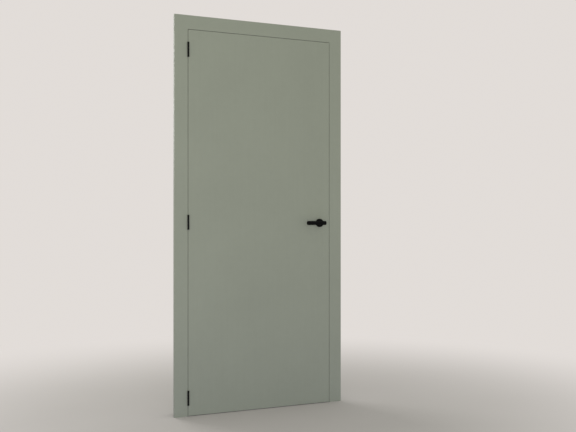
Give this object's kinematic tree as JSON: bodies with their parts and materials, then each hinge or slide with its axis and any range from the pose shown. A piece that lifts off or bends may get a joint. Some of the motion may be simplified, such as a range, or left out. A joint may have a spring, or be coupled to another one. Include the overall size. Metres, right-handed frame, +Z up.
{
  "type": "interior door",
  "caption": "Flush interior door leaf hung on barrel hinges in a mitred casing frame, with a mortise latch and lever handles.",
  "frame": {"origin": "on the floor, at the middle of the doorway, in the plane of the wall face that the leaf opens from", "axes": "+X along the wall towards the latch side, +Y into the wall, +Z up"},
  "size_m": [0.98, 0.178, 2.093],
  "materials": {
    "sage_paint": "smooth board under sage grey-green satin paint",
    "raw_board": "unpainted chipboard",
    "black_metal": "matt black coating",
    "plain_steel": "zinc plated",
    "soft_seal": "matt soft grey",
    "moulded_cup": "moulded, matt",
    "bearing_plastic": "moulded, matt"
  },
  "bodies": {
    "frame": {"front_casing_hinge_side": "sage_paint", "front_casing_latch_side": "sage_paint", "front_casing_head": "sage_paint", "lining_hinge_side": "sage_paint", "lining_latch_side": "sage_paint", "lining_head": "sage_paint", "back_casing_hinge_side": "sage_paint", "back_casing_latch_side": "sage_paint", "back_casing_head": "sage_paint", "seal_hinge_side": "soft_seal", "seal_latch_side": "soft_seal", "seal_head": "soft_seal", "lining_screws": "plain_steel", "strike_plate": "black_metal", "strike_box": "moulded_cup", "strike_screws": "black_metal", "hinge_bottom_frame_leaf": "black_metal", "hinge_middle_frame_leaf": "black_metal", "hinge_top_frame_leaf": "black_metal", "hinge_bottom_pin": "black_metal", "hinge_middle_pin": "black_metal", "hinge_top_pin": "black_metal", "hinge_screws_frame": "black_metal", "hinge_washers": "bearing_plastic"},
    "leaf": {"skin_front": "sage_paint", "skin_back": "sage_paint", "stile_hinge_side": "sage_paint", "stile_latch_side": "sage_paint", "rail_top": "sage_paint", "rail_bottom": "sage_paint", "lock_block": "raw_board", "core_board": "raw_board", "hinge_bottom_door_leaf": "black_metal", "hinge_middle_door_leaf": "black_metal", "hinge_top_door_leaf": "black_metal", "hinge_screws_leaf": "black_metal", "latch_case": "plain_steel", "latch_cover": "plain_steel", "latch_cover_screws": "plain_steel", "latch_forend": "black_metal", "latch_forend_screws": "black_metal", "latch_spring": "plain_steel", "lever_return_spring": "plain_steel", "rose_base_front": "plain_steel", "rose_base_back": "plain_steel", "rose_cover_front": "black_metal", "rose_cover_back": "black_metal", "rose_screws": "plain_steel"},
    "handle": {"lever_front": "black_metal", "lever_back": "black_metal", "spindle": "plain_steel", "grub_screws": "black_metal", "latch_follower": "plain_steel"},
    "latch": {"latch_bolt": "plain_steel"}
  },
  "joints": [
    {"name": "leaf_swing", "type": "hinge", "parent": "frame", "child": "leaf", "pos_m": [-0.416, -0.0218, 1.012], "axis": [0, 0, -1], "range_deg": [0, 170]},
    {"name": "lever_turn", "type": "hinge", "parent": "leaf", "child": "handle", "pos_m": [0.353, 0.004, 1.007], "axis": [0, -1, 0], "range_deg": [0, 45], "stiffness_Nm_per_rad": 1, "springref_deg": -20.05, "deforming": ["lever_return_spring"]},
    {"name": "latch_slide", "type": "slide", "parent": "leaf", "child": "latch", "axis": [-1, 0, 0], "range_m": [0, 0.011], "deforming": ["latch_spring"]}
  ],
  "couplings": [
    {"joint": "latch_slide", "follows": "lever_turn", "m_per_rad": 0.014}
  ]
}
